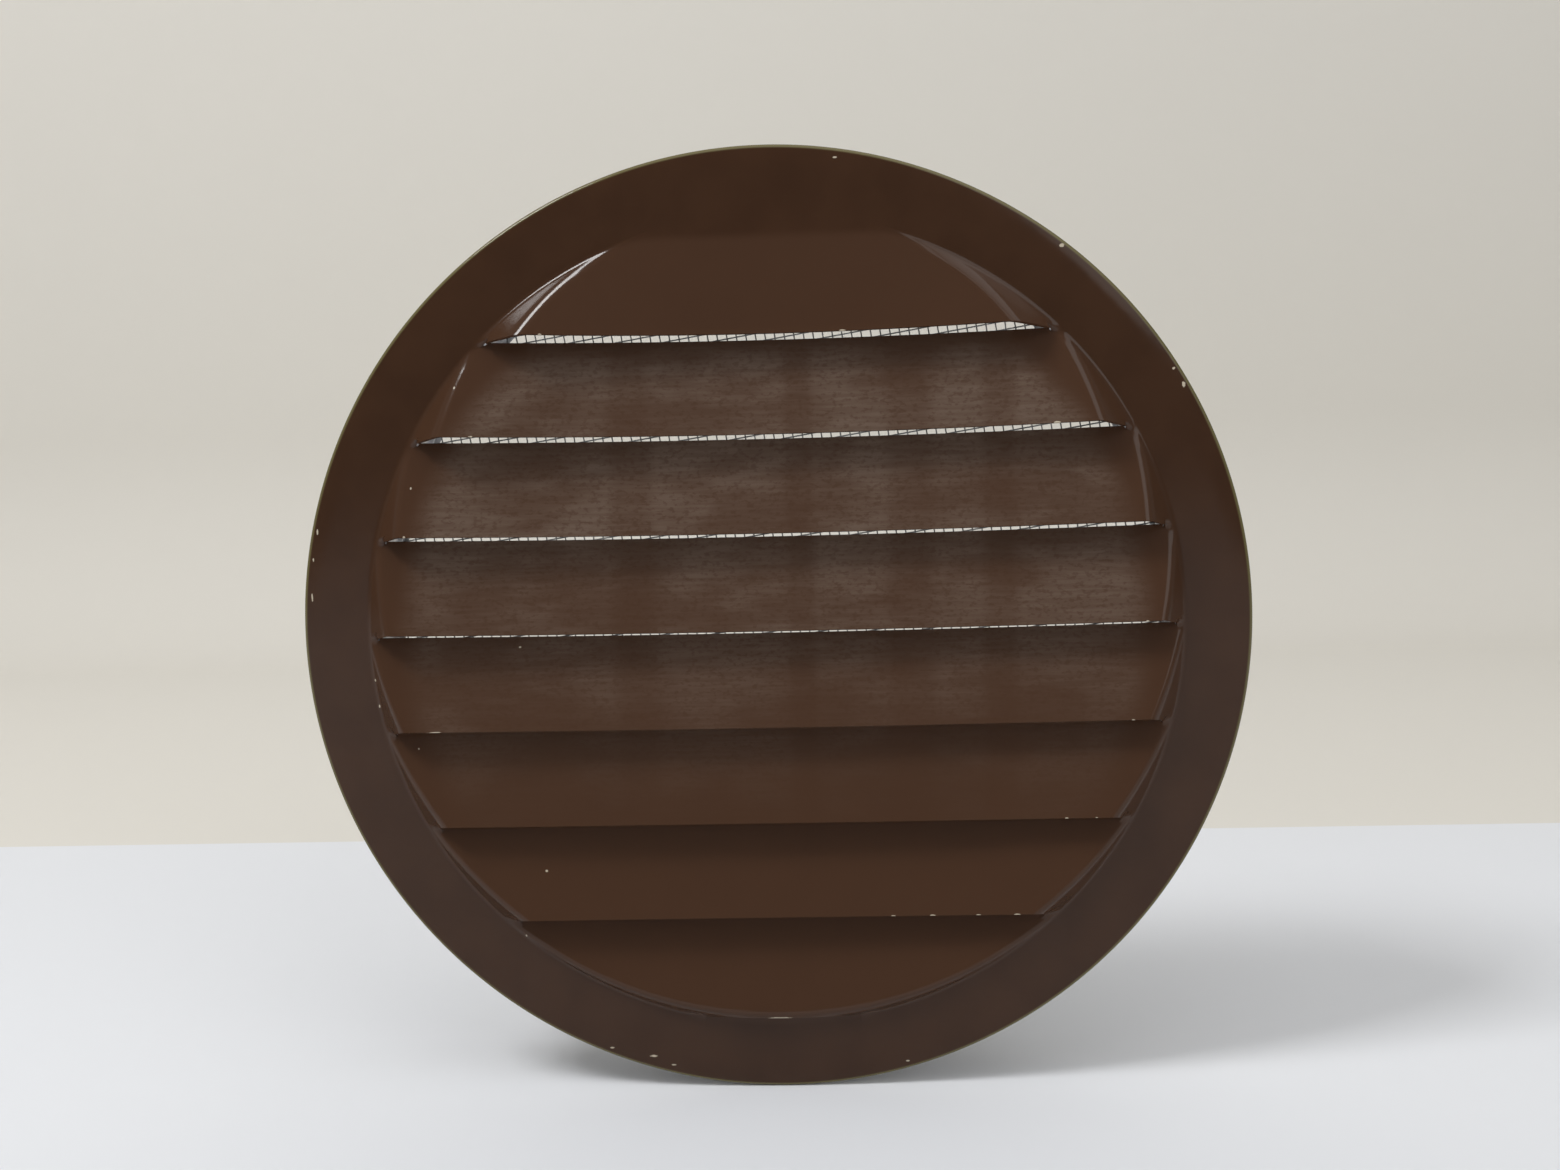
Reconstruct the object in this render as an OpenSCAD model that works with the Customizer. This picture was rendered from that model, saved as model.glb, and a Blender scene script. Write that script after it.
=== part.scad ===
// Round louvred wall vent, pressed from sheet, in millimetres.
// Origin: centre of the back of the rim, on the axis of the collar.
// -Y is the front, seen from outside; +Y goes into the wall; +Z is up.

/* [Collar] */
// Outer diameter of the collar that goes into a 152.4 mm hole
collar_d = 151.4; // [140:0.2:164]
// Depth of the collar behind the wall face
collar_depth = 22; // [16:0.5:30]
// Thickness of the collar sheet
collar_t = 0.5; // [0.4:0.05:0.6]
// Radius of the bend between wall and flange, on its back
collar_bend = 0.5; // [0.4:0.05:0.55]
// How far the turned-in back edge reaches inward from the wall
lip_w = 1.5; // [1:0.1:3]
// Depth of the rolled bead that the screen sits against
bead_h = 1; // [0.8:0.1:1.4]

/* [Face] */
// How far the rim reaches out beyond the collar, rolled edge included
rim_reach = 10.05; // [8:0.05:14]
// Step in from the inside of the collar to the circle of the louvre field
field_inset = 1.6; // [1:0.1:2.6]
// Height of the flat segment left between that circle and the top blade
field_head = 3.2; // [2.4:0.1:4]
// Thickness of the face sheet
face_t = 0.5; // [0.4:0.05:0.7]
// How far the flat rim stands forward of its rolled edge
rim_crown = 0.25; // [0.1:0.05:0.5]
// Width of the band that slopes from the flat rim to the rolled edge
crown_w = 3.4; // [2:0.2:5]
// Width of the hem turned back behind the collar flange
hem_w = 3; // [2:0.5:4]

/* [Louvres] */
// Number of louvre blades
blade_count = 8; // [6:1:8]
// Width of the strip sheared out to open each slot
slot_cut = 0.25; // [0.1:0.05:0.5]
// Extra length of the lowest blade
last_extra = 1.4; // [0:0.1:1.8]
// Lean of the blades, in degrees
blade_tilt = 16.5; // [12:0.5:20]
// How far the middle of a blade is sprung back from its ends
blade_bow = 3; // [1:0.25:3.5]
// Steepness of the drafted end walls, in mm of height for a mm of radius
wall_draft = 1.1; // [0.9:0.05:1.3]

/* [Screen] */
// Spacing of the upright wires, 14 to the inch
wire_pitch_x = 1.814; // [1.6:0.01:2.2]
// Spacing of the cross wires, 16 to the inch
wire_pitch_z = 1.5875; // [1.4:0.01:2]
// Wire diameter
wire_d = 0.28; // [0.2:0.02:0.34]
// Turn of the weave in the collar, in degrees
weave_turn = 9; // [0:1:45]
// Upright wires between one row of open gaps and the next
gap_step_x = 7; // [6:1:10]
// Cross wires between one row of open gaps and the next
gap_step_z = 8; // [7:1:12]
// Border of the screen that has no open gaps
gap_border = 5; // [3:0.5:12]
// Thickness of the woven screen
screen_t = 0.5; // [0.44:0.02:0.7]

/* [Fits] */
// Gap left between folded sheets in the hem
seam_gap = 0.05; // [0.03:0.01:0.1]
// Gap on each side of the screen disc
screen_gap = 0.05; // [0.03:0.01:0.1]
// Gap round the edge of the screen disc
screen_side_gap = 0.6; // [0.5:0.1:0.8]

/* [Hidden] */
round_fn = 180;
wall_ro = collar_d / 2;
wall_ri = wall_ro - collar_t;
rim_r = wall_ro + rim_reach;
field_r = wall_ri - field_inset;
// the rolled edge closes round the flange: face, flange and hem
hem_h = 2 * face_t + collar_t + 2 * seam_gap;
roll_r = hem_h / 2;
roll_c = rim_r - roll_r;
front_d = hem_h + rim_crown;
flange_r = roll_c;
lip_r = wall_ri - lip_w;
screen_back = collar_depth - collar_t - screen_gap;
screen_r = wall_ri - screen_side_gap;
bead_back = screen_back - screen_t - screen_gap;
field_top = field_r - field_head;
field_bottom = -field_top - last_extra;
// height of one blade along its slope, and the pitch of the slots
blade_pitch = 2 * field_top / blade_count;
lip_h = blade_pitch * sin(blade_tilt);
// height over which the drafted end walls are made, past lip and bow
wall_rise = lip_h + blade_bow + 1;
// depth of the solids that shape the pressing from behind
cut_far = wall_rise + 5;
// overlap that joins the pressed blades to the flat sheet
weld = 0.3;

// half of the chord at height z of a circle of radius r
function half_chord(r, z) = sqrt(max(r * r - z * z, 1));
// height of the upper edge of a blade, counted from the top
function blade_top(i) = field_top - i * blade_pitch;
// length of a blade down its slope
function blade_len(i) = blade_pitch - slot_cut + (i == blade_count - 1 ? last_extra : 0);
// half width at the lip, where the blade meets the drafted end wall
function lip_half(i) =
    half_chord(field_r - lip_h / wall_draft, blade_top(i) - blade_len(i) * cos(blade_tilt));
// half width over which a blade is sprung back
function bow_half(i) =
    i == 0 ? lip_half(0)
    : i == blade_count - 1 ? half_chord(field_r, blade_top(i)) * 0.92
    : (half_chord(field_r, blade_top(i)) + lip_half(i)) / 2;
function bow_radius(i) = (pow(bow_half(i), 2) + blade_bow * blade_bow) / (2 * blade_bow);

// turns a shape about Z into one about the collar axis, up becoming forward
module about_axis() {
    rotate([90, 0, 0])
        children();
}

// own frame of a blade: X across, Z up the slope, -Y out of its face
module blade_frame(i, tilt) {
    translate([0, 0, blade_top(i)])
        rotate([-tilt, 0, 0])
            children();
}

// everything behind the face of one blade, before the end walls limit it
module behind_blade(i) {
    wide = field_r + 4;
    long = blade_len(i) + 8;
    tilt_mid = blade_tilt - asin(blade_bow / blade_pitch);
    if (i == 0) {
        intersection() {
            blade_frame(i, blade_tilt)
                translate([-wide, 0, -long])
                    cube([2 * wide, cut_far, long + 8]);
            blade_frame(i, tilt_mid)
                difference() {
                    translate([-wide, -cut_far, -long])
                        cube([2 * wide, 2 * cut_far, long + 8]);
                    translate([0, -bow_radius(i), -long - 1])
                        cylinder(h = long + 10, r = bow_radius(i), $fn = 600);
                }
        }
    } else {
        blade_frame(i, blade_tilt)
            difference() {
                translate([-wide, -cut_far, -long])
                    cube([2 * wide, 2 * cut_far, long + 8]);
                translate([0, blade_bow - bow_radius(i), -long - 1])
                    cylinder(h = long + 10, r = bow_radius(i), $fn = 900);
            }
    }
}

// space behind the drafted end wall where it stands forward of the rim
module behind_outer_wall() {
    top_r = field_r - wall_rise / wall_draft;
    about_axis()
        cylinder(h = wall_rise, r1 = field_r, r2 = top_r, $fn = round_fn);
    about_axis()
        translate([0, 0, -cut_far - 2])
            cylinder(h = cut_far + 2, r = field_r, $fn = round_fn);
}

// space behind the end wall where a blade is sprung back behind the rim
module behind_inner_wall(extra) {
    foot_r = field_r - wall_rise / wall_draft;
    depth = cut_far + 1;
    difference() {
        about_axis()
            translate([0, 0, -depth])
                cylinder(h = depth, r = field_r + extra, $fn = round_fn);
        about_axis()
            translate([0, 0, -wall_rise])
                cylinder(h = wall_rise, r1 = foot_r, r2 = field_r, $fn = round_fn);
        about_axis()
            translate([0, 0, -depth - 1])
                cylinder(h = depth + 1 - wall_rise, r = foot_r, $fn = round_fn);
    }
}

// space behind the finished pressing, within the height of one blade
module behind_pressing(i, extra) {
    intersection() {
        behind_outer_wall();
        behind_blade(i);
    }
    behind_inner_wall(extra);
}

// one blade as sheet metal, cut square across its slope at both edges
module blade(i) {
    wide = field_r + 2;
    start = i == 0 ? weld * 2 : 0;
    intersection() {
        blade_frame(i, blade_tilt)
            translate([-wide, -cut_far + 2, -blade_len(i)])
                cube([2 * wide, 2 * cut_far - 4, blade_len(i) + start]);
        difference() {
            behind_pressing(i, 0);
            translate([0, face_t, 0])
                behind_pressing(i, 1);
        }
    }
}

// flat rim with its opening for the louvre field
module flat_sheet() {
    difference() {
        about_axis()
            translate([0, 0, -face_t])
                cylinder(h = face_t, r = rim_r - crown_w - roll_r, $fn = round_fn);
        intersection() {
            about_axis()
                translate([0, 0, -2])
                    cylinder(h = 4, r = field_r - weld, $fn = round_fn);
            translate([-rim_r, -3, field_bottom])
                cube([2 * rim_r, 6, field_top - field_bottom]);
        }
    }
}

// sloped band, rolled edge and hem, as one section turned about the axis
module rolled_edge() {
    inner = rim_r - crown_w - roll_r;
    turn = [for (a = [75:-15:-75]) a];
    about_axis()
        rotate_extrude($fn = round_fn)
            polygon(concat(
                [[inner - 0.2, front_d], [inner, front_d], [roll_c, hem_h]],
                [for (a = turn) [roll_c + roll_r * cos(a), roll_r + roll_r * sin(a)]],
                [[roll_c, 0], [roll_c - hem_w, 0], [roll_c - hem_w, face_t], [roll_c, face_t]],
                [for (a = turn) [roll_c + (roll_r - face_t) * cos(-a),
                                 roll_r + (roll_r - face_t) * sin(-a)]],
                [[roll_c, hem_h - face_t], [inner, front_d - face_t],
                 [inner - 0.2, front_d - face_t]]
            ));
}

module louvre_face() {
    color([0.25, 0.16, 0.11]) {
        translate([0, -front_d, 0]) {
            flat_sheet();
            for (i = [0:blade_count - 1])
                blade(i);
        }
        rolled_edge();
    }
}

// drawn ring: flange, bend, wall, bead and turned-in back edge
module mounting_collar() {
    top = face_t + seam_gap;
    bend_c = wall_ro + collar_bend;
    bend_d = top - collar_bend;
    bend_o = collar_bend + collar_t;
    arc = [for (a = [15:15:75]) a];
    back = -collar_depth;
    corner = 1;
    color([0.74, 0.75, 0.77])
        about_axis()
            rotate_extrude($fn = round_fn)
                polygon(concat(
                    [[flange_r, top], [bend_c, top]],
                    [for (a = arc) [bend_c - collar_bend * sin(a), bend_d + collar_bend * cos(a)]],
                    [[wall_ro, bend_d],
                     [wall_ro, -bead_back + 2.2],
                     [wall_ro - bead_h, -bead_back + 1.3],
                     [wall_ro - bead_h, -bead_back + 1.1],
                     [wall_ro, -bead_back + 0.1],
                     [wall_ro, back + corner],
                     [wall_ro - corner * 0.13, back + corner * 0.5],
                     [wall_ro - corner * 0.5, back + corner * 0.13],
                     [wall_ro - corner, back],
                     [lip_r, back],
                     [lip_r, back + collar_t],
                     [wall_ro - corner, back + collar_t],
                     [wall_ri - 0.13, back + collar_t + 0.13],
                     [wall_ri, back + corner],
                     [wall_ri, -bead_back],
                     [wall_ri - bead_h, -bead_back + 0.9],
                     [wall_ri - bead_h, -bead_back + 1.5],
                     [wall_ri, -bead_back + 2.5],
                     [wall_ri, bend_d]],
                    [for (a = arc) [bend_c - bend_o * cos(a), bend_d + bend_o * sin(a)]],
                    [[bend_c, top + collar_t], [flange_r, top + collar_t]]
                ));
}

// section of a thin web with a row of square ridges on one side
module ridged_section(count, pitch, reach, web_h, ridge_h) {
    polygon(concat(
        [[reach, 0], [reach, web_h]],
        [for (k = [count:-1:-count], e = [[1, 0], [1, 1], [-1, 1], [-1, 0]])
            [k * pitch + e[0] * wire_d / 2, web_h + e[1] * ridge_h]],
        [[-reach, web_h], [-reach, 0]]
    ));
}

// woven wire as one wall: upright wires ridged in front, cross wires behind
module insect_screen() {
    web = (screen_t - wire_d) / 2;
    ridge = screen_t / 2 - web;
    reach = screen_r + 1;
    nx = floor((screen_r - wire_d) / wire_pitch_x);
    nz = floor((screen_r - wire_d) / wire_pitch_z);
    open = screen_r - gap_border;
    color([0.55, 0.56, 0.57])
        translate([0, screen_back - screen_t / 2, 0])
            rotate([0, -weave_turn, 0])
                difference() {
                    intersection() {
                        about_axis()
                            translate([0, 0, -screen_t])
                                cylinder(h = 2 * screen_t, r = screen_r, $fn = round_fn);
                        union() {
                            translate([0, 0, -reach])
                                rotate([0, 0, 180])
                                    linear_extrude(height = 2 * reach)
                                        ridged_section(nx, wire_pitch_x, reach, web, ridge);
                            translate([-reach, 0, 0])
                                rotate([0, 90, 0])
                                    linear_extrude(height = 2 * reach)
                                        ridged_section(nz, wire_pitch_z, reach, web, ridge);
                        }
                    }
                    for (i = [-nx:gap_step_x:nx], j = [-nz:gap_step_z:nz]) {
                        x = (i + 0.5) * wire_pitch_x;
                        z = (j + 0.5) * wire_pitch_z;
                        if (x * x + z * z < open * open)
                            translate([x - (wire_pitch_x - wire_d) / 2, -1,
                                       z - (wire_pitch_z - wire_d) / 2])
                                cube([wire_pitch_x - wire_d, 2, wire_pitch_z - wire_d]);
                    }
                }
}

louvre_face();
insect_screen();
mounting_collar();
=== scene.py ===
"""Looks of the round louvred wall vent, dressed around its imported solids.

Row frame, in metres: -Y is the front, +Y goes into the wall and +Z is up. The
origin is the centre of the back of the rim. Sizes below are in millimetres and
are turned into metres where a mesh or a node takes them.
"""

from __future__ import annotations

import logging
import math
from collections.abc import Callable, Sequence
from dataclasses import dataclass, field
from enum import Enum

import bpy
import numpy as np
from mathutils import Euler, Matrix, Vector

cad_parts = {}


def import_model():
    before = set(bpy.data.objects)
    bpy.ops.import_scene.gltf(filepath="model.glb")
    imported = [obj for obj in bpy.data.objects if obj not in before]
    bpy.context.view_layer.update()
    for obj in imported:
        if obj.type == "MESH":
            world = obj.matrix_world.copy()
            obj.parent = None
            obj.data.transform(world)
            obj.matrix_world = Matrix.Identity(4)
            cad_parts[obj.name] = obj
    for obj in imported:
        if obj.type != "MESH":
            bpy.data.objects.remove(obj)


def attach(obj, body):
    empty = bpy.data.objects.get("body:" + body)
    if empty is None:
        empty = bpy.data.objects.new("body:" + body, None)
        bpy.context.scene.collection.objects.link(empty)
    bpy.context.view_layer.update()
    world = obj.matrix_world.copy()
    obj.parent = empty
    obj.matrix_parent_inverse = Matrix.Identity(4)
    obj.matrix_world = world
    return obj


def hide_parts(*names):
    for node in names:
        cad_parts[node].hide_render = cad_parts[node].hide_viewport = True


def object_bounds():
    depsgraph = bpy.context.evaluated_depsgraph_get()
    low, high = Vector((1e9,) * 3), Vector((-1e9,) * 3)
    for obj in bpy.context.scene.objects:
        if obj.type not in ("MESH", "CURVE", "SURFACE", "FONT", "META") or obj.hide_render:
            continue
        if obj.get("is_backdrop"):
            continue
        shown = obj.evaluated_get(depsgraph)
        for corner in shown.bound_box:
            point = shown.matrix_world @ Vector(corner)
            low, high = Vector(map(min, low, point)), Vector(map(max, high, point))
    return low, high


MM = 0.001
BODY = "root"
LOG = logging.getLogger("vent")

Colour = tuple[float, float, float]
Array = np.ndarray


class Slot(Enum):
    """Material slots of the record."""

    ENAMEL = "brown_enamel"
    ALUMINIUM = "bare_aluminium"
    WIRE = "screen_wire"


# --------------------------------------------------------------------------
# Node trees


class Sock:
    """A node's output, with arithmetic that adds Math nodes to its tree."""

    def __init__(self, graph: Graph, socket: bpy.types.NodeSocket) -> None:
        """Keeps the tree and the output.

        Args:
            graph: tree that the output belongs to.
            socket: the output itself.
        """
        self.graph = graph
        self.socket = socket

    def math(self, operation: str, *others: Sock | float) -> Sock:
        """Adds one Math node.

        Args:
            operation: Blender's name of the operation.
            others: further operands, sockets or numbers.

        Returns:
            The node's output.
        """
        operands: dict[int, Sock | float] = {0: self}
        for place, other in enumerate(others, start=1):
            operands[place] = other
        return self.graph.add("ShaderNodeMath", {"operation": operation}, operands)

    def __add__(self, other: Sock | float) -> Sock:
        """Sum."""
        return self.math("ADD", other)

    def __radd__(self, other: float) -> Sock:
        """Sum with a number first."""
        return self.math("ADD", other)

    def __sub__(self, other: Sock | float) -> Sock:
        """Difference."""
        return self.math("SUBTRACT", other)

    def __rsub__(self, other: float) -> Sock:
        """Difference with a number first."""
        return (self * -1.0).math("ADD", other)

    def __mul__(self, other: Sock | float) -> Sock:
        """Product."""
        return self.math("MULTIPLY", other)

    def __rmul__(self, other: float) -> Sock:
        """Product with a number first."""
        return self.math("MULTIPLY", other)

    def __truediv__(self, other: Sock | float) -> Sock:
        """Quotient."""
        return self.math("DIVIDE", other)

    def __pow__(self, other: Sock | float) -> Sock:
        """Power."""
        return self.math("POWER", other)

    def smaller(self, other: Sock | float) -> Sock:
        """The smaller of two values."""
        return self.math("MINIMUM", other)

    def larger(self, other: Sock | float) -> Sock:
        """The larger of two values."""
        return self.math("MAXIMUM", other)

    def size(self) -> Sock:
        """The value without its sign."""
        return self.math("ABSOLUTE")

    def step(self, low: float, high: float) -> Sock:
        """A smooth step from 0 at low to 1 at high, falling where low is larger.

        Args:
            low: value at which the step is 0.
            high: value at which the step is 1.

        Returns:
            The step, from 0 to 1.
        """
        flip = low > high
        start, end = (high, low) if flip else (low, high)
        made = self.graph.add(
            "ShaderNodeMapRange",
            {"interpolation_type": "SMOOTHSTEP"},
            {"Value": self, "From Min": start, "From Max": end},
        )
        return 1.0 - made if flip else made


class Graph:
    """A node tree that is filled by code."""

    def __init__(self, tree: bpy.types.NodeTree) -> None:
        """Keeps the tree.

        Args:
            tree: the tree to fill.
        """
        self.tree = tree

    def add(
        self,
        kind: str,
        settings: dict | None = None,
        inputs: dict | None = None,
        output: int | str = 0,
    ) -> Sock:
        """Adds a node of any type.

        Args:
            kind: Blender's type name.
            settings: the node's own settings, set first; "stops" fills a ramp.
            inputs: values or outputs for its sockets, by name or by place.
            output: which of its outputs to hand back.

        Returns:
            The chosen output.
        """
        node = self.tree.nodes.new(kind)
        for name, value in (settings or {}).items():
            if name == "stops":
                self._fill_ramp(node.color_ramp, value)
            else:
                setattr(node, name, value)
        for key, value in (inputs or {}).items():
            target = node.inputs[key]
            if isinstance(value, Sock):
                self.tree.links.new(value.socket, target)
            else:
                target.default_value = value
        if not node.outputs:
            return Sock(self, None)
        return Sock(self, node.outputs[output])

    @staticmethod
    def _fill_ramp(ramp: bpy.types.ColorRamp, stops: Sequence[tuple[float, Colour]]) -> None:
        """Sets the stops of a colour ramp.

        Args:
            ramp: the ramp to fill.
            stops: place and colour of each stop, in order.
        """
        while len(ramp.elements) < len(stops):
            ramp.elements.new(1.0)
        for element, (place, colour) in zip(ramp.elements, stops):
            element.position = place
            element.color = (*colour, 1.0)

    def blend(self, share: Sock | float, first: Sock | Colour, second: Sock | Colour) -> Sock:
        """Mixes two colours.

        Args:
            share: how much of the second colour shows.
            first: colour at 0.
            second: colour at 1.

        Returns:
            The mixed colour.
        """
        sides = [c if isinstance(c, Sock) else (*c, 1.0) for c in (first, second)]
        return self.add(
            "ShaderNodeMix",
            {"data_type": "RGBA", "clamp_factor": True},
            {0: share, 6: sides[0], 7: sides[1]},
            2,
        )

    def point(self, scale: Colour = (1.0, 1.0, 1.0)) -> Sock:
        """Object coordinates in millimetres, stretched.

        Args:
            scale: factor along each axis.

        Returns:
            The scaled vector.
        """
        where = self.add("ShaderNodeTexCoord", None, None, "Object")
        factor = tuple(s / MM for s in scale)
        return self.add("ShaderNodeVectorMath", {"operation": "MULTIPLY"}, {0: where, 1: factor})

    def axes(self) -> tuple[Sock, Sock, Sock]:
        """X, Y and Z of the object coordinates, in millimetres."""
        split = self.tree.nodes.new("ShaderNodeSeparateXYZ")
        self.tree.links.new(self.point().socket, split.inputs[0])
        return tuple(Sock(self, split.outputs[k]) for k in range(3))

    def noise(self, scale: Colour, detail: float = 2.0, rough: float = 0.5) -> Sock:
        """Noise in object coordinates.

        Args:
            scale: features to the millimetre along each axis.
            detail: octaves.
            rough: strength of the finer octaves.

        Returns:
            The noise, about 0.5 on average.
        """
        return self.add(
            "ShaderNodeTexNoise",
            {"noise_dimensions": "3D"},
            {"Vector": self.point(scale), "Scale": 1.0, "Detail": detail, "Roughness": rough},
        )


class Finish:
    """A material with one Principled shader, filled by a subclass."""

    name = "finish"

    def material(self) -> bpy.types.Material:
        """Makes the material.

        Returns:
            The finished material.
        """
        made = bpy.data.materials.new(self.name)
        made.use_nodes = True
        graph = Graph(made.node_tree)
        shader = made.node_tree.nodes["Principled BSDF"]
        self.paint(graph, shader)
        return made

    def paint(self, graph: Graph, shader: bpy.types.ShaderNode) -> None:
        """Sets the shader's sockets; a subclass fills this in.

        Args:
            graph: the material's tree.
            shader: its Principled shader.
        """
        raise NotImplementedError

    @staticmethod
    def feed(graph: Graph, shader: bpy.types.ShaderNode, values: dict) -> None:
        """Sets or links the sockets of the shader.

        Args:
            graph: the material's tree.
            shader: its Principled shader.
            values: number, colour or output for each socket name.
        """
        for name, value in values.items():
            if isinstance(value, Sock):
                graph.tree.links.new(value.socket, shader.inputs[name])
            elif isinstance(value, tuple):
                shader.inputs[name].default_value = (*value, 1.0)
            else:
                shader.inputs[name].default_value = value

    @staticmethod
    def bump(graph: Graph, height: Sock, depth: float) -> Sock:
        """Turns a height into a normal.

        Args:
            graph: the material's tree.
            height: height from 0 to 1.
            depth: size of that step in millimetres.

        Returns:
            The normal.
        """
        return graph.add("ShaderNodeBump", None, {"Height": height, "Distance": depth * MM})


# --------------------------------------------------------------------------
# View of the photograph


@dataclass(frozen=True)
class PhotoView:
    """Where the photograph was taken from, fitted to the rim and the slots."""

    width: int = 1560
    height: int = 1170
    focal_px: float = 1577.0
    sensor_mm: float = 36.0
    place: tuple[float, float, float] = (12.054, -283.641, 38.139)
    heading: float = -2.172
    dip: float = 6.069
    roll: float = 1.462

    def turn(self) -> Matrix:
        """Rotation from camera axes to the row frame."""
        level = Euler((math.radians(90 - self.dip), 0, math.radians(-self.heading)))
        tilt = Matrix.Rotation(math.radians(-self.roll), 3, "Z")
        return level.to_matrix() @ tilt

    def camera(self) -> bpy.types.Object:
        """Makes the camera and hands it to the scene.

        Returns:
            The camera object.
        """
        data = bpy.data.cameras.new("photo_view")
        data.sensor_width = self.sensor_mm
        data.lens = self.sensor_mm * self.focal_px / self.width
        data.clip_start = 0.01
        data.clip_end = 20.0
        made = bpy.data.objects.new("photo_view", data)
        made.matrix_world = Matrix.Translation(Vector(self.place) * MM) @ self.turn().to_4x4()
        bpy.context.scene.collection.objects.link(made)
        bpy.context.scene.camera = made
        return made

    def spot(self, across: float, down: float, depth: float) -> tuple[float, float]:
        """Finds the point of a plane facing the front that a pixel shows.

        Args:
            across: pixel column of the photograph.
            down: pixel row of the photograph.
            depth: Y of the plane, in millimetres.

        Returns:
            X and Z of the point, in millimetres.
        """
        ray = self.turn() @ Vector(
            (across - self.width / 2, self.height / 2 - down, -self.focal_px)
        )
        start = Vector(self.place)
        reach = (depth - start.y) / ray.y
        hit = start + ray * reach
        return hit.x, hit.z


VIEW = PhotoView()


# --------------------------------------------------------------------------
# Finishes


@dataclass(frozen=True)
class Chip:
    """A spot of lost enamel, placed by its pixel in the photograph."""

    across: float
    down: float
    wide: float
    high: float
    blade: int | None = None


RIM_CHIPS = (
    Chip(1062, 245, 5, 4),
    Chip(1174, 368, 4, 3),
    Chip(1184, 384, 4, 6),
    Chip(835, 157, 5, 2),
    Chip(612, 1048, 5, 2),
    Chip(654, 1056, 9, 3),
    Chip(674, 1065, 6, 2),
    Chip(908, 1061, 5, 2),
    Chip(317, 532, 2, 7),
    Chip(313, 560, 2, 4),
    Chip(312, 598, 2, 9),
)
LIP_CHIPS = (
    Chip(544, 333, 4, 2, 0),
    Chip(842, 330, 8, 2, 0),
    Chip(476, 433, 5, 2, 1),
    Chip(1054, 425, 8, 3, 1),
    Chip(411, 533, 3, 3, 2),
    Chip(1143, 618, 4, 2, 3),
    Chip(441, 730, 18, 1.5, 4),
    Chip(1129, 716, 4, 2, 4),
    Chip(1064, 816, 4, 2, 5),
    Chip(1093, 814, 3, 2, 5),
    Chip(893, 914, 5, 2, 6),
    Chip(932, 914, 7, 2, 6),
    Chip(977, 913, 6, 2, 6),
    Chip(1015, 912, 9, 2, 6),
    Chip(780, 1009, 28, 3, 7),
)
DUST = (
    Chip(519, 648, 3, 2),
    Chip(548, 869, 3, 3),
    Chip(527, 935, 2, 3),
    Chip(376, 680, 2, 3),
    Chip(380, 706, 2, 4),
    Chip(420, 748, 2, 2),
    Chip(414, 488, 2, 3),
    Chip(457, 388, 2, 3),
)


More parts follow.
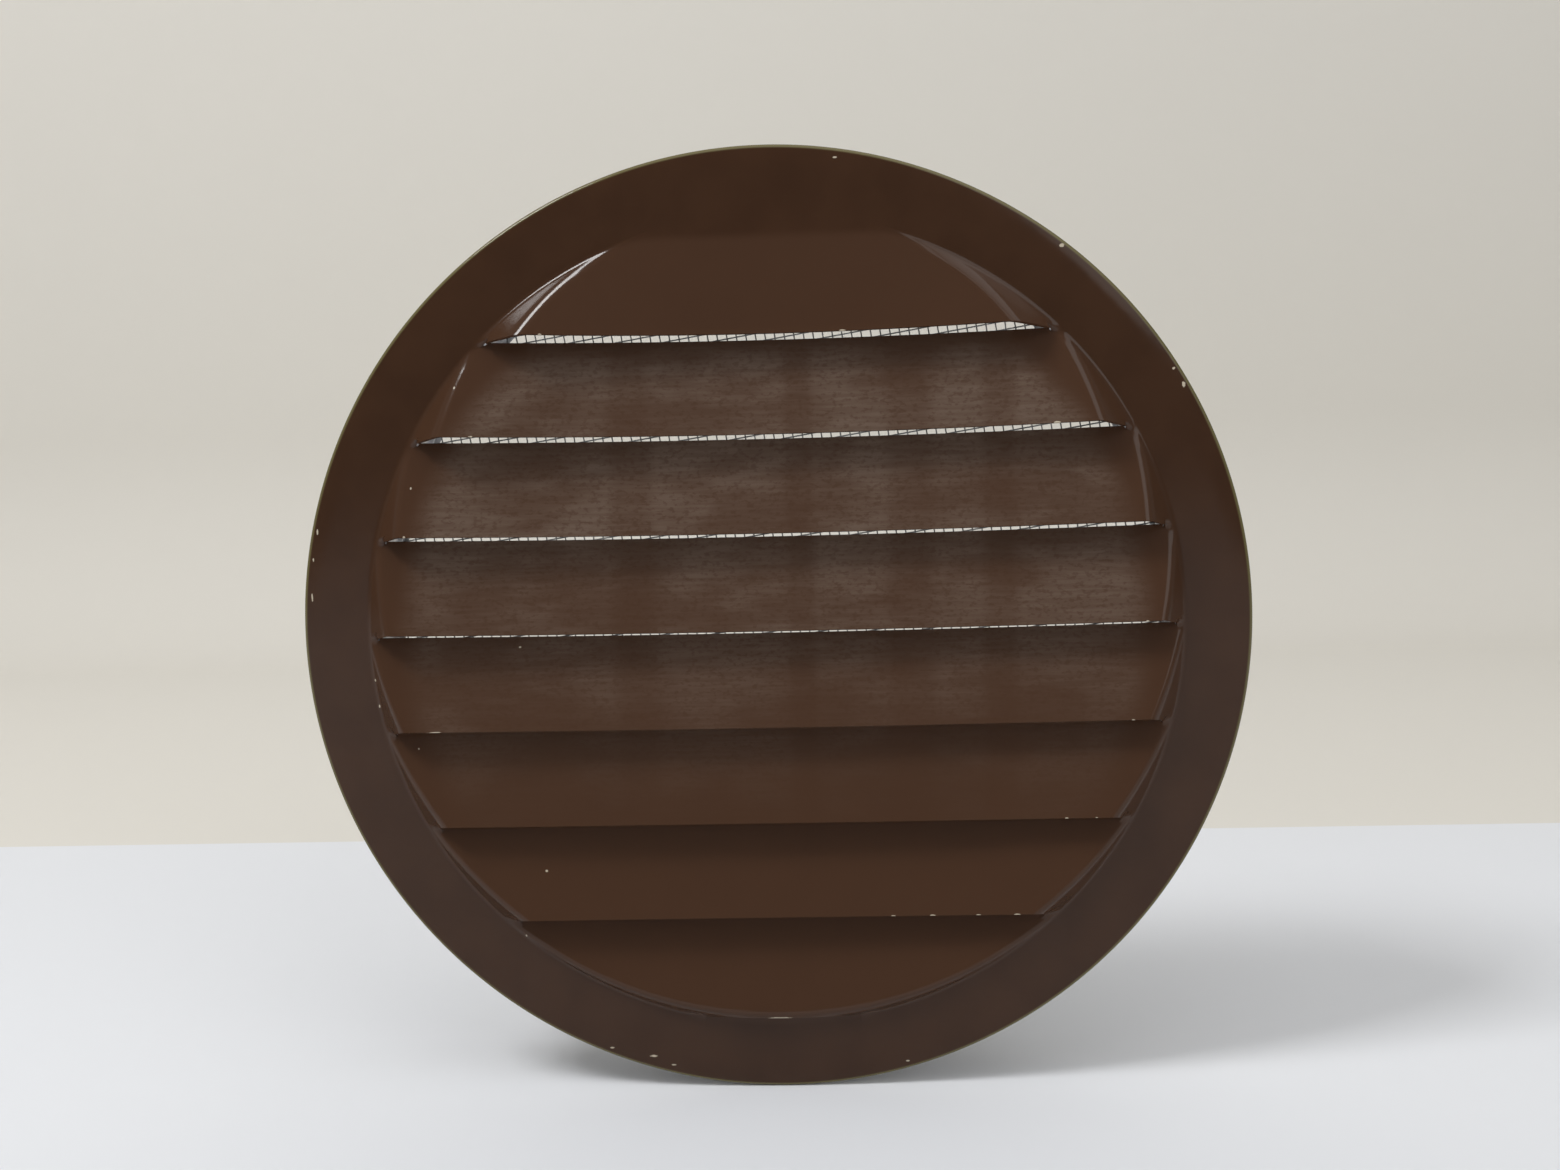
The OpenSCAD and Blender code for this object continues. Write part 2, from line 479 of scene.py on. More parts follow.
@dataclass(frozen=True)
class BrownEnamel(Finish):
    """Glossy brown stoving enamel, chipped at edges, with painted light on the blades: a lighter
    painted tint, and a streaked painted sheen over a dry film.
    """

    face: LouvreFace
    name: str = "brown_enamel"
    brown: Colour = (0.049, 0.0215, 0.0098)
    deep: Colour = (0.043, 0.0185, 0.0082)
    # Lighter brown painted on the blades: painted light, as the up-tilted blades catch more light
    # than the flat rim.
    painted_blade_light: Colour = (0.066, 0.0315, 0.0168)
    # Lighter greyish brown of the painted reflection over the dry film on the blades.
    painted_sheen_and_film: Colour = (0.150, 0.106, 0.080)
    bare: Colour = (0.52, 0.45, 0.34)
    primer: Colour = (0.165, 0.145, 0.060)
    gloss: float = 0.13
    dull: float = 0.26
    shine: float = 0.36
    # Vertical bands across the blades where the painted sheen and film are weaker.
    clear_bands: tuple[tuple[float, float], ...] = (
        (-25.0, 3.6),
        (5.2, 2.4),
        (25.0, 4.0),
        (40.8, 2.8),
    )

    def paint(self, graph: Graph, shader: bpy.types.ShaderNode) -> None:
        """Sets the enamel's colour, gloss and skin.

        Args:
            graph: the material's tree.
            shader: its Principled shader.
        """
        across, _, up = graph.axes()
        reach = (across * across + up * up) ** 0.5
        sheen_and_film_share = self._painted_sheen_and_film(graph, across, up)
        chipped = self._chips(graph)
        edge = reach.step(84.95, 85.35)
        # Mask of the painted blade light: the field of blades inside the end walls.
        painted_blade_light = reach.step(74.2, 72.6) * up.step(71.0, 69.0)
        mottle = graph.noise((0.11, 0.11, 0.11), 3.0)
        colour = graph.blend(mottle.step(0.35, 0.7), self.brown, self.deep)
        # Painted light: the blades are painted a lighter brown than the rim.
        colour = graph.blend(painted_blade_light * 0.75, colour, self.painted_blade_light)
        # Painted reflection: the blades' streaked sheen is painted lighter; the same mask dulls
        # the gloss for the film.
        colour = graph.blend(sheen_and_film_share * 0.75, colour, self.painted_sheen_and_film)
        colour = graph.blend(edge * 0.75, colour, self.primer)
        colour = graph.blend(chipped, colour, self.bare)
        skin = graph.noise((0.5, 0.5, 0.5), 2.0)
        rough = sheen_and_film_share * (self.dull - self.gloss) + self.gloss + chipped * 0.25
        self.feed(
            graph,
            shader,
            {
                "Base Color": colour,
                "Roughness": rough,
                "Normal": self.bump(graph, skin, 0.012),
                "IOR": 1.42,
                "Specular IOR Level": self.shine,
            },
        )

    def _painted_sheen_and_film(self, graph: Graph, across: Sock, up: Sock) -> Sock:
        """Painted sheen over a dry film on the blades: patches with fine level streaks. The
        lighter colour is a painted reflection; the duller gloss is the film.

        Args:
            graph: the material's tree.
            across: X in millimetres.
            up: Z in millimetres.

        Returns:
            The share of painted sheen and film, from 0 to 1.
        """
        patch = graph.noise((0.03, 0.03, 0.07), 3.0, 0.6).step(0.40, 0.60)
        streak = graph.noise((0.09, 0.5, 1.5), 3.0, 0.6).step(0.36, 0.66)
        speck = graph.noise((0.9, 1.3, 1.6), 2.0, 0.6).step(0.36, 0.50)
        level = up.step(-45.0, 25.0) * up.step(53.0, 47.0)
        inside = (across * across + up * up).step(69.0**2, 62.0**2)
        sheen_and_film_mask = patch * 0.6 + 0.4
        sheen_and_film_mask = sheen_and_film_mask * (streak * 0.35 + 0.65) * (speck * 0.4 + 0.6) * level * inside
        for middle, half in self.clear_bands:
            sheen_and_film_mask = sheen_and_film_mask * ((across - middle).size().step(half * 0.5, half * 1.5) * 0.4 + 0.6)
        return sheen_and_film_mask

    def _chips(self, graph: Graph) -> Sock:
        """Spots where the enamel is gone.

        Args:
            graph: the material's tree.

        Returns:
            1 on a chip and 0 elsewhere.
        """
        per_mm = VIEW.focal_px / 290.0
        where = graph.point()
        nearest: Sock | None = None
        for chip in (*RIM_CHIPS, *LIP_CHIPS, *DUST):
            x, z = VIEW.spot(chip.across, chip.down, -self.face.front)
            if chip.blade is not None:
                z = self.face.lip(chip.blade, x)
            shrink = 2 * per_mm / chip.wide, 2 * per_mm / chip.high
            centred = graph.add(
                "ShaderNodeVectorMath",
                {"operation": "MULTIPLY_ADD"},
                {0: where, 1: (shrink[0], 0, shrink[1]), 2: (-x * shrink[0], 0, -z * shrink[1])},
            )
            away = graph.add("ShaderNodeVectorMath", {"operation": "LENGTH"}, {0: centred}, 1)
            nearest = away if nearest is None else nearest.smaller(away)
        ragged = graph.noise((1.6, 1.6, 1.6), 3.0, 0.7) * 1.2 - 0.6
        return (nearest + ragged).step(0.95, 0.6)


@dataclass(frozen=True)
class MillAluminium(Finish):
    """Bare drawn aluminium with fine lines round it and a dull bloom."""

    name: str = "mill_aluminium"
    bright: Colour = (0.66, 0.665, 0.68)
    dim: Colour = (0.50, 0.50, 0.51)
    rough: float = 0.36

    def paint(self, graph: Graph, shader: bpy.types.ShaderNode) -> None:
        """Sets the metal's colour, gloss and drawing lines.

        Args:
            graph: the material's tree.
            shader: its Principled shader.
        """
        bloom = graph.noise((0.07, 0.07, 0.07), 4.0, 0.6)
        lines = graph.noise((0.02, 6.0, 0.02), 2.0, 0.6)
        colour = graph.blend(bloom.step(0.4, 0.7), self.bright, self.dim)
        rough = bloom * 0.16 + lines * 0.10 + (self.rough - 0.12)
        self.feed(
            graph,
            shader,
            {
                "Base Color": colour,
                "Metallic": 1.0,
                "Roughness": rough,
                "Normal": self.bump(graph, lines, 0.004),
            },
        )


@dataclass(frozen=True)
class ScreenWire(Finish):
    """Dull grey aluminium wire."""

    name: str = "screen_wire"
    light: Colour = (0.36, 0.365, 0.37)
    dark: Colour = (0.20, 0.20, 0.20)

    def paint(self, graph: Graph, shader: bpy.types.ShaderNode) -> None:
        """Sets the wire's colour and gloss.

        Args:
            graph: the material's tree.
            shader: its Principled shader.
        """
        bloom = graph.noise((0.15, 0.15, 0.15), 3.0)
        self.feed(
            graph,
            shader,
            {
                "Base Color": graph.blend(bloom.step(0.4, 0.65), self.light, self.dark),
                "Metallic": 0.85,
                "Roughness": bloom * 0.2 + 0.32,
            },
        )


@dataclass(frozen=True)
class StudioPaper(Finish):
    """Pale seamless paper for floor and backdrop."""

    name: str = "studio_paper"
    floor: Colour = (0.74, 0.755, 0.785)
    wall: Colour = (0.70, 0.675, 0.62)
    edge_y: float = 176.0

    def paint(self, graph: Graph, shader: bpy.types.ShaderNode) -> None:
        """Sets the paper's colour, cooler before the vent than behind it.

        Args:
            graph: the material's tree.
            shader: its Principled shader.
        """
        _, depth, _ = graph.axes()
        behind = depth.step(self.edge_y - 0.4, self.edge_y + 0.4)
        colour = graph.blend(behind, self.floor, self.wall)
        self.feed(graph, shader, {"Base Color": colour, "Roughness": 0.9})


# --------------------------------------------------------------------------
# Meshes


def soft_min(first: Array, second: Array, reach: Array) -> Array:
    """The smaller of two heights, rounded where they meet.

    Args:
        first: one height.
        second: the other height.
        reach: difference under which the corner is rounded.

    Returns:
        The rounded minimum.
    """
    near = np.clip(reach - np.abs(first - second), 0, None)
    return np.minimum(first, second) - near * near / (4 * reach)


def soft_max(first: Array, second: Array, reach: Array) -> Array:
    """The larger of two heights, rounded where they meet."""
    return -soft_min(-first, -second, reach)


@dataclass
class SheetMesh:
    """Vertices and faces gathered before they become one mesh."""

    points: list[Array] = field(default_factory=list)
    faces: list[tuple[int, ...]] = field(default_factory=list)
    finish: list[int] = field(default_factory=list)
    count: int = 0

    def put(self, points: Array) -> Array:
        """Adds points.

        Args:
            points: coordinates in millimetres, last axis of 3.

        Returns:
            Their indices, in the shape of the points.
        """
        flat = points.reshape(-1, 3)
        self.points.append(flat)
        made = np.arange(self.count, self.count + len(flat)).reshape(points.shape[:-1])
        self.count += len(flat)
        return made

    def strip(self, first: Array, second: Array, finish: int, closed: bool = False) -> None:
        """Joins two rows of points with four-sided faces.

        Args:
            first: indices of one row.
            second: indices of the other row.
            finish: material place of the faces.
            closed: whether the rows run round a ring.
        """
        if closed:
            first = np.append(first, first[0])
            second = np.append(second, second[0])
        corners = zip(first[:-1], first[1:], second[1:], second[:-1])
        for quad in corners:
            kept = list(dict.fromkeys(int(v) for v in quad))
            if len(kept) > 2:
                self.faces.append(tuple(kept))
                self.finish.append(finish)

    def build(self, name: str, materials: Sequence[bpy.types.Material]) -> bpy.types.Object:
        """Makes the object.

        Args:
            name: name of the piece.
            materials: its materials, in order.

        Returns:
            The object, with its place in its mesh.
        """
        used = np.zeros(self.count, bool)
        for face in self.faces:
            used[list(face)] = True
        place = np.cumsum(used) - 1
        points = np.concatenate(self.points)[used] * MM
        faces = [tuple(int(place[v]) for v in face) for face in self.faces]
        mesh = bpy.data.meshes.new(name)
        mesh.from_pydata(points.tolist(), [], faces)
        for material in materials:
            mesh.materials.append(material)
        mesh.polygons.foreach_set("material_index", self.finish)
        mesh.polygons.foreach_set("use_smooth", np.ones(len(faces), bool))
        mesh.set_sharp_from_angle(angle=math.radians(48))
        mesh.update()
        made = bpy.data.objects.new(name, mesh)
        bpy.context.scene.collection.objects.link(made)
        return made


@dataclass(frozen=True)
class LouvreFace:
    """The stamped disc: rim, rolled edge, hem, and blades with drafted end walls."""

    rim_r: float = 85.75
    field_r: float = 73.6
    field_top: float = 70.4
    field_bottom: float = -71.8
    sheet: float = 0.5
    hem_h: float = 1.6
    crown: float = 0.25
    crown_w: float = 3.4
    hem_w: float = 3.0
    blades: int = 8
    slot_cut: float = 0.25
    last_extra: float = 1.4
    tilt: float = math.radians(16.5)
    bow: float = 3.0
    draft: float = 1.1
    fold: float = 1.0
    foot: float = 0.5
    crease: float = 0.3
    skirt: float = 1.2
    head: float = 0.8
    least_step: float = 0.45
    rows: int = 26
    end_columns: int = 34
    mid_columns: int = 50

    @property
    def front(self) -> float:
        """Distance of the rim's front plane before the wall."""
        return self.hem_h + self.crown

    @property
    def pitch(self) -> float:
        """Height of one blade along its slope."""
        return 2 * self.field_top / self.blades

    @property
    def outer(self) -> float:
        """Radius at which the pressed field meets the lathed rim."""
        return self.field_r + self.skirt

    def top(self, blade: int) -> float:
        """Z of a blade's upper edge."""
        return self.field_top - blade * self.pitch

    def length(self, blade: int) -> float:
        """Length of a blade down its slope."""
        last = self.last_extra if blade == self.blades - 1 else 0.0
        return self.pitch - self.slot_cut + last

    @staticmethod
    def chord(radius: float, up: float) -> float:
        """Half of a circle's chord at a height."""
        return math.sqrt(max(radius * radius - up * up, 1.0))

    def bow_half(self, blade: int) -> float:
        """Half width over which a blade is sprung back.

        Args:
            blade: number of the blade, from the top.

        Returns:
            The half width.
        """
        lip_r = self.field_r - self.pitch * math.sin(self.tilt) / self.draft
        low = self.top(blade) - self.length(blade) * math.cos(self.tilt)
        lip = self.chord(lip_r, low)
        if blade == 0:
            return lip
        upper = self.chord(self.field_r, self.top(blade))
        return 0.92 * upper if blade == self.blades - 1 else (upper + lip) / 2

    def wall(self, x: Array, z: Array) -> Array:
        """Height of the drafted end wall, rounded at its foot."""
        inward = self.field_r - np.hypot(x, z)
        rounded = np.clip(inward + self.foot, 0, None) ** 2 / (4 * self.foot)
        return self.draft * np.where(inward > self.foot, inward, rounded)

    def proud(self, blade: int, x: Array, z: Array) -> Array:
        """Height of the pressing before the rim, on one blade.

        Args:
            blade: number of the blade, from the top.
            x: places across.
            z: places up.

        Returns:
            Heights, positive to the front.
        """
        half = self.bow_half(blade)
        radius = (half * half + self.bow * self.bow) / (2 * self.bow)
        sprung = radius - np.sqrt(radius * radius - x * x) - self.bow
        drop = self.top(blade) - z
        if blade == 0:
            share = np.clip(drop / (self.length(0) * math.cos(self.tilt)), 0, 1)
            sprung = soft_min(sprung, np.zeros_like(sprung), 0.5) * share
        slope = math.tan(self.tilt) * drop + sprung / math.cos(self.tilt)
        if blade == 0:
            slope = soft_max(slope, np.zeros_like(slope), self.crease)
        wall = self.wall(x, z)
        reach = np.minimum(self.fold, 0.9 * wall) + 1e-6
        return soft_max(soft_min(slope, wall, reach), -wall, reach)

    def columns(self, up: float) -> Array:
        """Places across at a height, close together at the ends of the blade.

        Args:
            up: height of the row.

        Returns:
            The places, from left to right.
        """
        half = self.chord(self.outer, up)
        inner = math.sqrt(max((self.outer - 9.0) ** 2 - up * up, 0.0))
        width = min(half - inner, 0.6 * half)
        near = np.linspace(0, 1, self.end_columns) * width
        middle = half - width
        between = np.linspace(-middle, middle, self.mid_columns + 2)[1:-1]
        return np.concatenate([near - half, between, (half - near)[::-1]])

    def cut(self, blade: int, along: float, x: Array) -> Array:
        """Z of a cut edge of a blade, cut square across its slope.

        Args:
            blade: number of the blade.
            along: distance of the cut down the slope.
            x: places across.

        Returns:
            Z for each place.
        """
        base = self.top(blade) - along * math.cos(self.tilt)
        z = np.full_like(x, base)
        for _ in range(8):
            height = self.proud(blade, x, z)
            z = base + (height - along * math.sin(self.tilt)) * math.tan(self.tilt)
        return z

    def lip(self, blade: int, across: float) -> float:
        """Z of a blade's lower edge at one place across."""
        return float(self.cut(blade, self.length(blade), np.array([across]))[0])

    def skin(self, blade: int, x: Array, z: Array, height: Array) -> Array:
        """Front and back points of the sheet over places of one blade.

        Args:
            blade: number of the blade.
            x: places across.
            z: places up.
            height: height of the front over each place.

        Returns:
            Points in the shape of x, with an axis for front and back, then 3.
        """
        step = 0.05
        over = (self.proud(blade, x + step, z) - self.proud(blade, x - step, z)) / (2 * step)
        rise = (self.proud(blade, x, z + step) - self.proud(blade, x, z - step)) / (2 * step)
        inward = np.stack([over, np.ones_like(over), rise], axis=-1)
        inward /= np.linalg.norm(inward, axis=-1, keepdims=True)
        front = np.stack([x, -self.front - height, z], axis=-1)
        return np.stack([front, front + inward * self.sheet], axis=-2)

    def field_mesh(self, sheet: SheetMesh) -> Array:
        """Adds the blades and their slots.

        Args:
            sheet: mesh that takes them.

        Returns:
            Indices of the loop round the field, clockwise from the front, with
            an axis for front and back.
        """
        grids: list[Array] = []
        below: Array | None = None
        shut = np.zeros(0, bool)
        seam_z = np.zeros(0)
        share = np.linspace(0, 1, self.rows + 1)[:, None]
        for blade in range(self.blades):
            last = blade == self.blades - 1
            high = self.top(0) + self.head if blade == 0 else self.top(blade)
            low = self.field_bottom if last else self.top(blade + 1)
            x = np.stack([self.columns(high + (low - high) * s) for s in share[:, 0]])
            upper = np.full_like(x[0], high) if blade == 0 else self.cut(blade, 0.0, x[0])
            if blade:
                upper = np.where(shut, seam_z, upper)
            lip = self.cut(blade, self.length(blade), x[-1])
            under = np.full_like(lip, low) if last else self.cut(blade + 1, 0.0, x[-1])
            under_h = np.zeros_like(lip) if last else self.proud(blade + 1, x[-1], under)
            if last:
                lip = np.maximum(lip, under + 0.02)
            lip_h = self.proud(blade, x[-1], lip)
            closed = (lip_h < self.least_step) if last else (lip <= under + 0.03)
            seam_z = np.where(closed, (lip + under) / 2, lip)
            z = upper * (1 - share) + seam_z * share
            height = self.proud(blade, x, z)
            height[-1] = np.where(closed, (lip_h + under_h) / 2, lip_h)
            grid = sheet.put(self.skin(blade, x, z, height))
            if grids:
                grid[0, shut] = grids[-1][-1, shut]
                self.slot_edges(sheet, grids[-1][-1], grid[0], shut)
            grids.append(grid)
            shut = closed
            for row in range(self.rows):
                sheet.strip(grid[row + 1, :, 0], grid[row, :, 0], 0)
                sheet.strip(grid[row, :, 1], grid[row + 1, :, 1], 1)
            if last:
                flat = np.stack([x[-1], np.full_like(under, -self.front), under], axis=-1)
                back = flat + np.array([0.0, self.sheet, 0.0])
                below = sheet.put(np.stack([flat, back], axis=-2))
                below[shut] = grid[-1, shut]
                self.slot_edges(sheet, grid[-1], below, shut)
        parts = [grids[0][0]]
        parts += [grid[1:, -1] for grid in grids]
        parts.append(below[::-1][1:])
        parts += [grid[-2::-1, 0] for grid in reversed(grids)]
        return np.concatenate(parts)[:-1]

    @staticmethod
    def slot_edges(sheet: SheetMesh, lip: Array, under: Array, shut: Array) -> None:
        """Adds the cut edges of one slot.

        Args:
            sheet: mesh that takes them.
            lip: points of the blade above, with an axis for front and back.
            under: points of the sheet below, likewise.
            shut: where the two are one.
        """
        open_at = np.flatnonzero(~shut)
        span = slice(max(open_at[0] - 1, 0), open_at[-1] + 2)
        sheet.strip(lip[span, 1], lip[span, 0], 0)
        sheet.strip(under[span, 0], under[span, 1], 1)

    def rim_section(self) -> tuple[list[tuple[float, float]], int]:
        """Section of the rim from the field outward, round the roll and back in.

        Returns:
            Radius and Y of each point, and how many of them are enamelled.
        """
        roll_r = self.hem_h / 2
        centre = self.rim_r - roll_r
        inner = centre - self.crown_w
        hem = centre - self.hem_w
        inside = roll_r - self.sheet
        slope = [k / 6 for k in range(7)]
        turn = [math.radians(a) for a in range(75, -76, -15)]
        front = [(self.outer + 0.8, -self.front), (inner - 0.6, -self.front)]
        front += [(inner + self.crown_w * t, -self.front + self.crown * t * t) for t in slope]
        front += [(centre + roll_r * math.cos(a), -roll_r * (1 + math.sin(a))) for a in turn]
        front += [(centre, 0.0), (hem + 0.2, 0.0), (hem, 0.0)]
        back = [(hem, -self.sheet), (centre, -self.sheet)]
        back += [
            (centre + inside * math.cos(a), -roll_r - inside * math.sin(a)) for a in reversed(turn)
        ]
        back += [
            (inner + self.crown_w * t, -self.front + self.sheet + self.crown * t * t)
            for t in reversed(slope)
        ]
        back.append((self.outer + 0.8, -self.front + self.sheet))
        return front + back, len(front)

    def build(self, enamel: bpy.types.Material, metal: bpy.types.Material) -> bpy.types.Object:
        """Makes the whole face.

        Args:
            enamel: finish of the front and the rolled edge.
            metal: finish of the back.

        Returns:
            The object.
        """
        sheet = SheetMesh()
        loop = self.field_mesh(sheet)
        points = np.concatenate(sheet.points)[loop[:, 0]]
        angles = np.arctan2(points[:, 2], points[:, 0])
        section, enamelled = self.rim_section()
        rings = [loop[:, 0]]
        rings += [sheet.put(turned(radius, y, angles)) for radius, y in section]
        rings.append(loop[:, 1])
        for place in range(len(rings) - 1):
            finish = 0 if place < enamelled else 1
            sheet.strip(rings[place], rings[place + 1], finish, closed=True)
        return sheet.build("pressed_louvre_face", [enamel, metal])


def turned(radius: float, y: float, angles: Array) -> Array:
    """Points of one ring about the collar axis.

    Args:
        radius: radius of the ring.
        y: its place along the axis.
        angles: angle of each point, from +X towards +Z.

    Returns:
        The points.
    """
    return np.stack(
        [radius * np.cos(angles), np.full_like(angles, y), radius * np.sin(angles)], axis=-1
    )


def filleted(section: Sequence[tuple[float, float, float]]) -> list[tuple[float, float]]:
    """Rounds the corners of a closed section.

    Args:
        section: radius, Y and corner radius of each point.

    Returns:
        Radius and Y of each point of the rounded section.
    """
    made: list[tuple[float, float]] = []
    for place, (radius, y, corner) in enumerate(section):
        here = np.array([radius, y])
        before = np.array(section[place - 1][:2]) - here
        after = np.array(section[(place + 1) % len(section)][:2]) - here
        span, reach = np.linalg.norm(before), np.linalg.norm(after)
        before, after = before / span, after / reach
        half = math.acos(float(np.clip(before @ after, -1, 1))) / 2
        away = min(corner / max(math.tan(half), 1e-6), span * 0.49, reach * 0.49)
        if corner == 0 or away < 1e-4:
            made.append((radius, y))
            continue
        for t in np.linspace(0, 1, 6):
            point = here + before * away * (1 - t) ** 2 + after * away * t * t
            made.append((float(point[0]), float(point[1])))
    return made


@dataclass(frozen=True)
class SpunCollar:
    """The drawn ring: flange, bend, wall, bead and turned-in back edge."""

    wall_r: float = 75.7
    sheet: float = 0.5
    flange_r: float = 84.95
    flange_y: float = -0.55
    depth: float = 22.0
    lip_w: float = 1.5
    bead_h: float = 1.0
    bead_y: float = 19.75
    segments: int = 256

    def section(self) -> list[tuple[float, float]]:
        """Section of the ring, from the front of the flange outward."""
        out, into = self.wall_r, self.wall_r - self.sheet
        top, under = self.flange_y - self.sheet, self.flange_y
        back, inner = self.depth, self.depth - self.sheet
        lip = into - self.lip_w
        bead = self.bead_y
        dip, rise = self.bead_h, 1.0
        return filleted(
            [
                (self.flange_r, top, 0.1),
                (self.flange_r, under, 0.1),
                (out, under, 0.5),
                (out, bead - rise, 0.6),
                (out - dip, bead, 0.6),
                (out, bead + rise, 0.5),
                (out, back, 0.9),
                (lip, back, 0.1),
                (lip, inner, 0.1),
                (into, inner, 0.4),
                (into, bead + rise + 0.1, 0.5),
                (into - dip, bead - 0.05, 0.7),
                (into, bead - rise - 0.3, 0.6),
                (into, top, 1.0),
            ]
        )

    def build(self, metal: bpy.types.Material) -> bpy.types.Object:
        """Makes the collar.

        Args:
            metal: its finish.

        Returns:
            The object.
        """
        sheet = SheetMesh()
        angles = np.linspace(0, -2 * math.pi, self.segments, endpoint=False)
        rings = [sheet.put(turned(radius, y, angles)) for radius, y in self.section()]
        for place, ring in enumerate(rings):
            sheet.strip(ring, rings[(place + 1) % len(rings)], 0, closed=True)
        return sheet.build("spun_collar", [metal])


class Weave(Enum):
    """The two sets of wires of the screen."""

    CROSS = ("screen_cross_wires", 0.0, 1.0)
    UPRIGHT = ("screen_upright_wires", 90.0, -1.0)


@dataclass(frozen=True)
class WovenScreen:
    """Plain woven wire, 14 by 16 to the inch, held in the back of the collar."""

    wire: float = 0.28
    pitch_x: float = 1.814
    pitch_z: float = 1.5875
    disc_r: float = 74.6
    middle: float = 21.2
    turn: float = -9.0
    sides: int = 5

    def tree(self) -> bpy.types.NodeTree:
        """Makes the node tree that weaves one set of wires.

        Returns:
            The tree, with its sizes as named inputs.
        """
        tree = bpy.data.node_groups.new("woven_wires", "GeometryNodeTree")
        face = tree.interface
        face.new_socket("Geometry", in_out="INPUT", socket_type="NodeSocketGeometry")
        for name in ("Wire", "Pitch", "Cross pitch", "Disc radius", "Depth", "Turn", "Side"):
            face.new_socket(name, in_out="INPUT", socket_type="NodeSocketFloat")
        for name in ("Half count", "Half crossings"):
            face.new_socket(name, in_out="INPUT", socket_type="NodeSocketInt")
        face.new_socket("Finish", in_out="INPUT", socket_type="NodeSocketMaterial")
        face.new_socket("Geometry", in_out="OUTPUT", socket_type="NodeSocketGeometry")
        graph = Graph(tree)
        entry = tree.nodes.new("NodeGroupInput")

        def given(name: str) -> Sock:
            """One of the tree's inputs."""
            return Sock(graph, entry.outputs[name])

        rows = self._rows(graph, given)
        trimmed = self._trim(graph, given, rows)
        ring = graph.add(
            "GeometryNodeCurvePrimitiveCircle",
            None,
            {"Resolution": self.sides, "Radius": given("Wire") / 2.0},
        )
        solid = graph.add(
            "GeometryNodeCurveToMesh",
            None,
            {"Curve": trimmed, "Profile Curve": ring, "Fill Caps": True},
        )
        smooth = graph.add("GeometryNodeSetShadeSmooth", None, {0: solid})
        place = graph.add("ShaderNodeCombineXYZ", None, {"Y": given("Depth")})
        angle = graph.add("ShaderNodeCombineXYZ", None, {"Y": given("Turn")})
        moved = graph.add(
            "GeometryNodeTransform",
            None,
            {"Geometry": smooth, "Translation": place, "Rotation": angle},
        )
        real = graph.add("GeometryNodeRealizeInstances", None, {0: moved})
        dressed = graph.add(
            "GeometryNodeSetMaterial", None, {"Geometry": real, "Material": given("Finish")}
        )
        leave = tree.nodes.new("NodeGroupOutput")
        tree.links.new(dressed.socket, leave.inputs[0])
        return tree

    @staticmethod
    def _rows(graph: Graph, given: Callable[[str], Sock]) -> Sock:
        """Lays one waved wire and repeats it, every second one turned over.

        Args:
            graph: the tree.
            given: finds an input of the tree by its name.

        Returns:
            Curves of all wires, not yet cut to the disc.
        """
        reach = given("Half crossings") * given("Cross pitch")
        start = graph.add("ShaderNodeCombineXYZ", None, {"X": reach * -1.0})
        end = graph.add("ShaderNodeCombineXYZ", None, {"X": reach})
        line = graph.add("GeometryNodeCurvePrimitiveLine", None, {"Start": start, "End": end})
        samples = given("Half crossings") * 4.0 + 1.0
        fine = graph.add("GeometryNodeResampleCurve", None, {"Curve": line, "Count": samples})
        where = graph.add("GeometryNodeInputPosition")
        along = graph.add("ShaderNodeSeparateXYZ", None, {0: where}, "X")
        wave = (along * math.pi / given("Cross pitch")).math("COSINE")
        lift = wave * given("Side") * given("Wire") * 0.51
        offset = graph.add("ShaderNodeCombineXYZ", None, {"Y": lift})
        waved = graph.add("GeometryNodeSetPosition", None, {"Geometry": fine, "Offset": offset})
        foot = given("Half count") * given("Pitch") * -1.0
        lowest = graph.add("ShaderNodeCombineXYZ", None, {"Z": foot})
        step = graph.add("ShaderNodeCombineXYZ", None, {"Z": given("Pitch")})
        points = graph.add(
            "GeometryNodeMeshLine",
            None,
            {"Count": given("Half count") * 2.0 + 1.0, "Start Location": lowest, "Offset": step},
        )
        number = graph.add("GeometryNodeInputIndex")
        flip = 1.0 - number.math("MODULO", 2.0) * 2.0
        over = graph.add("ShaderNodeCombineXYZ", None, {"X": 1.0, "Y": flip, "Z": 1.0})
        wires = graph.add(
            "GeometryNodeInstanceOnPoints",
            None,
            {"Points": points, "Instance": waved, "Scale": over},
        )
        return graph.add("GeometryNodeRealizeInstances", None, {0: wires})

    @staticmethod
    def _trim(graph: Graph, given: Callable[[str], Sock], rows: Sock) -> Sock:
        """Cuts the wires off round the disc.

        Args:
            graph: the tree.
            given: finds an input of the tree by its name.
            rows: curves of all wires.

        Returns:
            The curves inside the disc.
        """
        where = graph.add("GeometryNodeInputPosition")
        x = graph.add("ShaderNodeSeparateXYZ", None, {0: where}, "X")
        y = graph.add("ShaderNodeSeparateXYZ", None, {0: where}, "Y")
        z = graph.add("ShaderNodeSeparateXYZ", None, {0: where}, "Z")
        radius = given("Disc radius")
        half = (radius * radius - z * z).larger(0.0) ** 0.5
        spare = given("Cross pitch") * 0.5
        outside = x.size().math("GREATER_THAN", half + spare)
        kept = graph.add(
            "GeometryNodeDeleteGeometry",
            {"domain": "POINT"},
            {"Geometry": rows, "Selection": outside},
        )
        held = x.larger(half * -1.0).smaller(half)
        place = graph.add("ShaderNodeCombineXYZ", None, {"X": held, "Y": y, "Z": z})
        return graph.add("GeometryNodeSetPosition", None, {"Geometry": kept, "Position": place})

